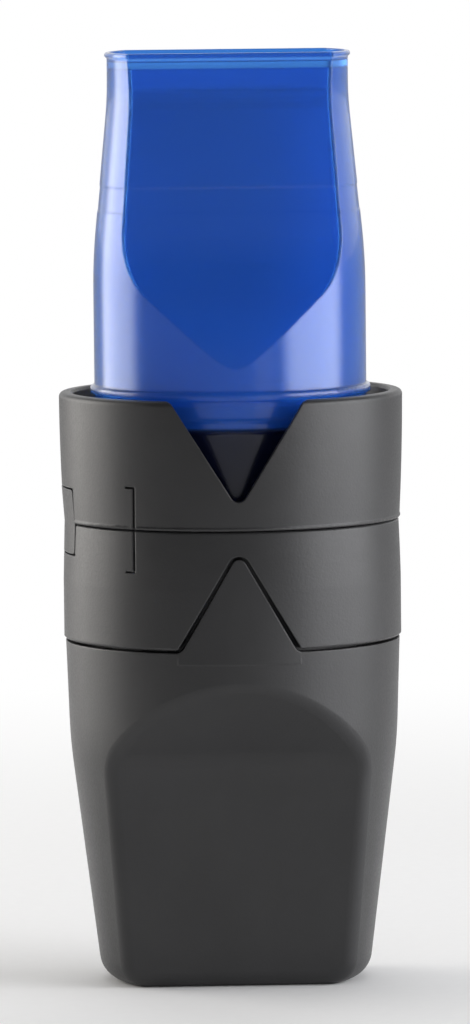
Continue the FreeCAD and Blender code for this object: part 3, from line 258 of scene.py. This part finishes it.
def makeMoulded(name, finish):
    # plastics and rubbers: drifting colour, mould grain, rubbed corners with a painted edge highlight, and a
    # handled film
    material, tree, shader, where = startMaterial(name)
    drift = placeGroup(tree, colourDrift, {"Vector": where, "Colour": finish["colour"],
                                           "Other Colour": finish["otherColour"],
                                           "Patch Size": moulded["patch"]})
    wearAndHighlight = placeGroup(tree, edgeWearAndHighlight, {"Vector": where, "Width": finish["wearWidth"],
                                       "Amount": finish["wearAndHighlight"]})
    film = placeGroup(tree, handledFilm, {"Vector": where, "Amount": finish["film"]})
    grain = placeGroup(tree, mouldGrain, {"Vector": where, "Grain Size": finish["grainSize"], "Depth": 1.0})
    # painted highlight: rounded corners turn paler, partly from rubbing and partly as a painted edge
    # highlight
    wornAndHighlight = blendColour(tree, wearAndHighlight.outputs["Mask"], drift.outputs["Colour"], finish["wornAndHighlightColour"])
    dust = sums(tree, "MULTIPLY", film.outputs["Mask"], moulded["dustShare"])
    dusty = blendColour(tree, dust, wornAndHighlight, moulded["dustColour"])
    tree.links.new(dusty, shader.inputs["Base Color"])
    rough = spread(tree, grain.outputs["Mask"], 0.3, 0.7,
                   finish["roughness"] - moulded["roughSpread"], finish["roughness"] + moulded["roughSpread"])
    smeared = sums(tree, "MULTIPLY", film.outputs["Mask"], moulded["filmRoughness"])
    polished = sums(tree, "MULTIPLY", wearAndHighlight.outputs["Mask"], moulded["wearPolish"])
    rough = sums(tree, "SUBTRACT", sums(tree, "ADD", rough, smeared), polished, clamp=True)
    tree.links.new(rough, shader.inputs["Roughness"])
    bump = addNode(tree, "ShaderNodeBump", {"Strength": finish["grainStrength"],
                                            "Distance": finish["grainDepth"],
                                            "Height": grain.outputs["Height"],
                                            "Normal": wearAndHighlight.outputs["Normal"]})
    tree.links.new(bump.outputs["Normal"], shader.inputs["Normal"])
    shader.inputs["IOR"].default_value = moulded["index"]
    shader.inputs["Subsurface Weight"].default_value = finish.get("softness", 0.0)
    shader.inputs["Subsurface Radius"].default_value = moulded["softRadius"]
    return material


charcoalShell = makeMoulded("charcoalShell", {
    "colour": (0.017, 0.017, 0.018, 1), "otherColour": (0.021, 0.021, 0.0225, 1),
    "wornAndHighlightColour": (0.10, 0.10, 0.105, 1), "wearAndHighlight": 0.5, "wearWidth": 0.0004, "film": 0.6,
    "roughness": 0.40, "grainSize": 0.0004, "grainStrength": 0.3, "grainDepth": 0.00005})
darkMoulding = makeMoulded("darkMoulding", {
    "colour": (0.012, 0.013, 0.016, 1), "otherColour": (0.018, 0.019, 0.023, 1),
    "wornAndHighlightColour": (0.07, 0.07, 0.075, 1), "wearAndHighlight": 0.4, "wearWidth": 0.0003, "film": 0.5,
    "roughness": 0.36, "grainSize": 0.0005, "grainStrength": 0.25, "grainDepth": 0.00005})
paleMoulding = makeMoulded("paleMoulding", {
    "colour": (0.62, 0.63, 0.62, 1), "otherColour": (0.55, 0.56, 0.555, 1),
    "wornAndHighlightColour": (0.74, 0.74, 0.73, 1), "wearAndHighlight": 0.3, "wearWidth": 0.0003, "film": 0.5,
    "roughness": 0.38, "grainSize": 0.0005, "grainStrength": 0.2, "grainDepth": 0.00004,
    "softness": 0.15})
blackRubber = makeMoulded("blackRubber", {
    "colour": (0.010, 0.010, 0.011, 1), "otherColour": (0.016, 0.016, 0.017, 1),
    "wornAndHighlightColour": (0.04, 0.04, 0.042, 1), "wearAndHighlight": 0.3, "wearWidth": 0.0003, "film": 0.9,
    "roughness": 0.62, "grainSize": 0.0003, "grainStrength": 0.3, "grainDepth": 0.00005})
valveSilicone = makeMoulded("valveSilicone", {
    "colour": (0.66, 0.66, 0.64, 1), "otherColour": (0.58, 0.59, 0.58, 1),
    "wornAndHighlightColour": (0.72, 0.72, 0.70, 1), "wearAndHighlight": 0.2, "wearWidth": 0.0003, "film": 0.6,
    "roughness": 0.5, "grainSize": 0.0006, "grainStrength": 0.15, "grainDepth": 0.00004,
    "softness": 0.4})
knobPlastic = makeMoulded("knobPlastic", {
    "colour": (0.012, 0.055, 0.26, 1), "otherColour": (0.016, 0.07, 0.30, 1),
    "wornAndHighlightColour": (0.10, 0.19, 0.46, 1), "wearAndHighlight": 0.5, "wearWidth": 0.0004, "film": 0.6,
    "roughness": 0.34, "grainSize": 0.0004, "grainStrength": 0.25, "grainDepth": 0.00005})
pointerRed = makeMoulded("pointerRed", {
    "colour": (0.45, 0.012, 0.010, 1), "otherColour": (0.52, 0.018, 0.014, 1),
    "wornAndHighlightColour": (0.62, 0.12, 0.10, 1), "wearAndHighlight": 0.4, "wearWidth": 0.0003, "film": 0.4,
    "roughness": 0.35, "grainSize": 0.0004, "grainStrength": 0.15, "grainDepth": 0.00004})
softMouthpiece = makeMoulded("softMouthpiece", {
    "colour": (0.74, 0.77, 0.79, 1), "otherColour": (0.69, 0.72, 0.75, 1),
    "wornAndHighlightColour": (0.80, 0.82, 0.83, 1), "wearAndHighlight": 0.2, "wearWidth": 0.0004, "film": 0.4,
    "roughness": 0.5, "grainSize": 0.0006, "grainStrength": 0.15, "grainDepth": 0.00004,
    "softness": 0.25})


def makeBlueCover():
    # clear plastic with a deep blue dye, polished in the mould, with painted shade turning its skirt dark
    # navy where the collar shades it
    finish = {"colour": (0.055, 0.25, 0.76, 1), "otherColour": (0.063, 0.27, 0.79, 1), "patch": 0.03,
              "paintedShadeColour": (0.02, 0.03, 0.1, 1), "footDepth": 0.0058, "paintedShadeBlend": 0.0008,
              "roughness": 0.2, "filmRoughness": 0.06, "clearness": 0.86, "index": 1.49, "specular": 0.1,
              "coat": 0.4, "coatRoughness": 0.05, "edge": 0.0006,
              "rippleSize": 0.007, "rippleDepth": 0.00012, "rippleStrength": 0.25}
    material, tree, shader, where = startMaterial("blueCover")
    drift = placeGroup(tree, colourDrift, {"Vector": where, "Colour": finish["colour"],
                                           "Other Colour": finish["otherColour"],
                                           "Patch Size": finish["patch"]})
    height = addNode(tree, "ShaderNodeSeparateXYZ", {"Vector": where}).outputs["Z"]
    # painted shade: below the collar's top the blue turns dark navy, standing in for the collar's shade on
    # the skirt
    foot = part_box("upper_collar")[1][2] - finish["footDepth"]
    low = spread(tree, height, foot, foot + finish["paintedShadeBlend"], 1.0, 0.0)
    paintedShadeBlue = blendColour(tree, low, drift.outputs["Colour"], finish["paintedShadeColour"])
    tree.links.new(paintedShadeBlue, shader.inputs["Base Color"])
    film = placeGroup(tree, handledFilm, {"Vector": where, "Amount": 1.0})
    hazy = sums(tree, "MULTIPLY", film.outputs["Mask"], finish["filmRoughness"])
    tree.links.new(sums(tree, "ADD", hazy, finish["roughness"]), shader.inputs["Roughness"])
    ripple = addNode(tree, "ShaderNodeTexNoise", {"Vector": where, "Scale": 1 / finish["rippleSize"],
                                                  "Detail": 1.0})
    rounded = placeGroup(tree, edgeWearAndHighlight, {"Vector": where, "Width": finish["edge"], "Amount": 0.0})
    bump = addNode(tree, "ShaderNodeBump", {"Strength": finish["rippleStrength"],
                                            "Distance": finish["rippleDepth"],
                                            "Height": ripple.outputs["Fac"],
                                            "Normal": rounded.outputs["Normal"]})
    tree.links.new(bump.outputs["Normal"], shader.inputs["Normal"])
    shader.inputs["Transmission Weight"].default_value = finish["clearness"]
    shader.inputs["IOR"].default_value = finish["index"]
    shader.inputs["Specular IOR Level"].default_value = finish["specular"]
    shader.inputs["Coat Weight"].default_value = finish["coat"]
    shader.inputs["Coat Roughness"].default_value = finish["coatRoughness"]
    return material


def makeTurnedSteel():
    # turned and lightly scratched stainless steel
    finish = {"colour": (0.56, 0.56, 0.57, 1), "otherColour": (0.48, 0.48, 0.49, 1), "patch": 0.006,
              "lineScale": (300.0, 300.0, 9000.0), "smoothest": 0.18, "roughest": 0.36,
              "lineStrength": 0.15, "lineDepth": 0.00002}
    material, tree, shader, where = startMaterial("turnedSteel")
    squeeze = addNode(tree, "ShaderNodeMapping", {"Vector": where, "Scale": finish["lineScale"]})
    lines = addNode(tree, "ShaderNodeTexNoise", {"Vector": squeeze.outputs["Vector"], "Scale": 1.0,
                                                 "Detail": 3.0})
    drift = placeGroup(tree, colourDrift, {"Vector": where, "Colour": finish["colour"],
                                           "Other Colour": finish["otherColour"],
                                           "Patch Size": finish["patch"]})
    tree.links.new(drift.outputs["Colour"], shader.inputs["Base Color"])
    rough = spread(tree, lines.outputs["Fac"], 0.3, 0.7, finish["smoothest"], finish["roughest"])
    tree.links.new(rough, shader.inputs["Roughness"])
    bump = addNode(tree, "ShaderNodeBump", {"Strength": finish["lineStrength"],
                                            "Distance": finish["lineDepth"],
                                            "Height": lines.outputs["Fac"]})
    tree.links.new(bump.outputs["Normal"], shader.inputs["Normal"])
    shader.inputs["Metallic"].default_value = 1.0
    return material


blueCover = makeBlueCover()
turnedSteel = makeTurnedSteel()
print("materials made")

finishOf = {"charcoal_plastic": charcoalShell, "blue_clear_plastic": blueCover, "dark_moulding": darkMoulding,
            "pale_moulding": paleMoulding, "soft_mouthpiece": softMouthpiece, "black_rubber": blackRubber,
            "valve_silicone": valveSilicone, "steel": turnedSteel, "knob_plastic": knobPlastic,
            "pointer_red": pointerRed}


def dress(piece, material):
    piece.data.materials.clear()
    piece.data.materials.append(material)


def dressFrame():
    for part in frame["record"]["subparts"]:
        dress(cadNodes[part["node"]], finishOf[part["material_slot"]])


dressFrame()


coil = {"turns": 8, "wire": 0.00075, "closed": 1.03, "stepsPerTurn": 40, "sides": 14,
        "slopeStep": 0.01, "nutTravel": 0.016}


def makeLoadSpring():
    # coiled steel wire with a closed turn at each end
    low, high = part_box("load_spring")
    radius = (high.x - low.x) / 2 - coil["wire"]
    free = high.z - low.z - 2 * coil["wire"]
    closed = 2 * coil["wire"] * coil["closed"]
    active = (free - 2 * closed) / (coil["turns"] - 2)
    steps = coil["turns"] * coil["stepsPerTurn"]
    nearby = coil["slopeStep"]

    def climb(turn):
        if turn < 1:
            return closed * turn
        if turn > coil["turns"] - 1:
            return free - closed * (coil["turns"] - turn)
        return closed + active * (turn - 1)

    corners, faces = [], []
    for step in range(steps + 1):
        turn = step / coil["stepsPerTurn"]
        angle = 2 * math.pi * turn
        outward = Vector((math.cos(angle), math.sin(angle), 0))
        gained = climb(min(turn + nearby, coil["turns"])) - climb(max(turn - nearby, 0))
        slope = gained / (2 * nearby) / (2 * math.pi)
        along = Vector((-math.sin(angle) * radius, math.cos(angle) * radius, slope)).normalized()
        upward = outward.cross(along)
        centre = outward * radius + Vector((0, 0, low.z + coil["wire"] + climb(turn)))
        for side in range(coil["sides"]):
            bend = 2 * math.pi * side / coil["sides"]
            corners.append(centre + (outward * math.cos(bend) + upward * math.sin(bend)) * coil["wire"])
    for step in range(steps):
        first, second = step * coil["sides"], (step + 1) * coil["sides"]
        for side in range(coil["sides"]):
            after = (side + 1) % coil["sides"]
            faces.append((first + side, second + side, second + after, first + after))
    faces.append(tuple(range(coil["sides"])))
    faces.append(tuple(reversed(range(steps * coil["sides"], (steps + 1) * coil["sides"]))))
    mesh = bpy.data.meshes.new("loadSpring")
    mesh.from_pydata(corners, [], faces)
    mesh.polygons.foreach_set("use_smooth", [len(face) == 4 for face in faces])
    piece = bpy.data.objects.new("loadSpring", mesh)
    bpy.context.scene.collection.objects.link(piece)
    mesh.materials.append(turnedSteel)
    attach(piece, "head")
    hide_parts("load_spring")
    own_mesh(piece)


makeLoadSpring()
print("load spring coiled")


studio = {"floorHalf": 14.0, "floorColour": (0.90, 0.90, 0.90, 1), "floorFleck": (0.93, 0.93, 0.93, 1),
          "fleckScale": 400.0, "floorRoughness": 0.85, "floorSpecular": 0.2,
          "whiteFrom": 0.16, "whiteTo": 0.5, "fill": 0.38,
          "frontGloss": 0.10, "backGloss": 1.0, "topGloss": 0.2,
          "softboxes": {  # place, aim, width, height, brightness, feather, colour
              "leftSoftbox": ((-0.58, 0.24, 0.10), (0, 0, 0.08), 0.72, 0.95, 3.9, 0.5, (1, 0.965, 0.92)),
              "rightSoftbox": ((0.60, -0.17, 0.10), (0, 0, 0.08), 0.88, 0.95, 4.9, 0.5, (0.97, 0.975, 1)),
              "topSoftbox": ((0.0, 0.75, 0.95), (0, 0, 0.1), 1.2, 1.0, 1.4, 0.4, (1, 1, 1)),
              "frontSoftbox": ((0.6, -1.2, 0.1), (0, 0, 0.09), 0.5, 0.7, 0.5, 0.6, (1, 1, 1))}}


def makeSoftbox(name, place, aim, width, height, brightness, feather, colour):
    # a lamp behind a diffuser that is brightest in its middle
    data = bpy.data.lights.new(name, "AREA")
    data.shape = "RECTANGLE"
    data.size = width
    data.size_y = height
    data.energy = brightness * math.pi * width * height
    data.color = colour
    data.use_nodes = True
    tree = data.node_tree
    spot = addNode(tree, "ShaderNodeNewGeometry")
    across = addNode(tree, "ShaderNodeSeparateXYZ", {"Vector": spot.outputs["Parametric"]})
    fades = []
    for way in ("X", "Y"):
        offset = sums(tree, "ABSOLUTE", sums(tree, "SUBTRACT", across.outputs[way], 0.5))
        fade = addNode(tree, "ShaderNodeMapRange", {"Value": offset, "From Min": 0.5 - 0.5 * feather,
                                                    "From Max": 0.5, "To Min": 1.0, "To Max": 0.0},
                       interpolation_type="SMOOTHSTEP")
        fades.append(fade.outputs["Result"])
    tree.links.new(sums(tree, "MULTIPLY", fades[0], fades[1]), tree.nodes["Emission"].inputs["Strength"])
    lamp = bpy.data.objects.new(name, data)
    bpy.context.scene.collection.objects.link(lamp)
    lamp.location = place
    lamp.rotation_mode = "QUATERNION"
    lamp.rotation_quaternion = (Vector(aim) - Vector(place)).to_track_quat("-Z", "Y")


def makeFloor():
    # pale floor that keeps the shadow near the object and turns white further off
    half = studio["floorHalf"]
    mesh = bpy.data.meshes.new("studioFloor")
    corners = [(-half, -half, 0), (half, -half, 0), (half, half, 0), (-half, half, 0)]
    mesh.from_pydata(corners, [], [(0, 1, 2, 3)])
    floor = bpy.data.objects.new("studioFloor", mesh)
    bpy.context.scene.collection.objects.link(floor)
    material = bpy.data.materials.new("paleFloor")
    material.use_nodes = True
    tree = material.node_tree
    shader = tree.nodes["Principled BSDF"]
    where = addNode(tree, "ShaderNodeTexCoord").outputs["Object"]
    fine = addNode(tree, "ShaderNodeTexNoise", {"Vector": where, "Scale": studio["fleckScale"],
                                                "Detail": 2.0})
    tone = blendColour(tree, fine.outputs["Fac"], studio["floorColour"], studio["floorFleck"])
    tree.links.new(tone, shader.inputs["Base Color"])
    shader.inputs["Roughness"].default_value = studio["floorRoughness"]
    shader.inputs["Specular IOR Level"].default_value = studio["floorSpecular"]
    away = addNode(tree, "ShaderNodeVectorMath", operation="LENGTH")
    tree.links.new(where, away.inputs[0])
    share = addNode(tree, "ShaderNodeMapRange", {"Value": away.outputs["Value"],
                                                 "From Min": studio["whiteFrom"],
                                                 "From Max": studio["whiteTo"]},
                    interpolation_type="SMOOTHSTEP")
    rays = addNode(tree, "ShaderNodeLightPath")
    seen = sums(tree, "MAXIMUM", rays.outputs["Is Camera Ray"], rays.outputs["Is Transmission Ray"])
    white = addNode(tree, "ShaderNodeEmission", {"Color": (1, 1, 1, 1), "Strength": 1.0})
    blend = addNode(tree, "ShaderNodeMixShader",
                    {"Fac": sums(tree, "MULTIPLY", share.outputs["Result"], seen)})
    tree.links.new(shader.outputs["BSDF"], blend.inputs[1])
    tree.links.new(white.outputs["Emission"], blend.inputs[2])
    tree.links.new(blend.outputs["Shader"], tree.nodes["Material Output"].inputs["Surface"])
    dress(floor, material)


def makeRoom():
    # white to the camera, dimmer in reflections from the front and from above
    world = bpy.data.worlds.new("studioRoom")
    bpy.context.scene.world = world
    world.use_nodes = True
    room = world.node_tree
    backdrop = room.nodes["Background"]
    rays = addNode(room, "ShaderNodeLightPath")
    seen = sums(room, "MAXIMUM", rays.outputs["Is Camera Ray"], rays.outputs["Is Transmission Ray"])
    ray = addNode(room, "ShaderNodeTexCoord").outputs["Generated"]
    toward = addNode(room, "ShaderNodeSeparateXYZ", {"Vector": ray})
    gloss = spread(room, toward.outputs["Y"], -0.3, 0.5, studio["frontGloss"], studio["backGloss"])
    roof = spread(room, toward.outputs["Z"], 0.25, 0.7, 1.0, studio["topGloss"])
    shiny = sums(room, "MULTIPLY", rays.outputs["Is Glossy Ray"], sums(room, "MULTIPLY", gloss, roof))
    fill = sums(room, "MULTIPLY", rays.outputs["Is Diffuse Ray"], studio["fill"])
    level = sums(room, "MAXIMUM", sums(room, "MAXIMUM", seen, shiny), fill)
    room.links.new(level, backdrop.inputs["Strength"])
    backdrop.inputs["Color"].default_value = (1, 1, 1, 1)
    bpy.context.scene.view_settings.view_transform = "Standard"


for name, values in studio["softboxes"].items():
    makeSoftbox(name, *values)
makeFloor()
makeRoom()
print("studio made")
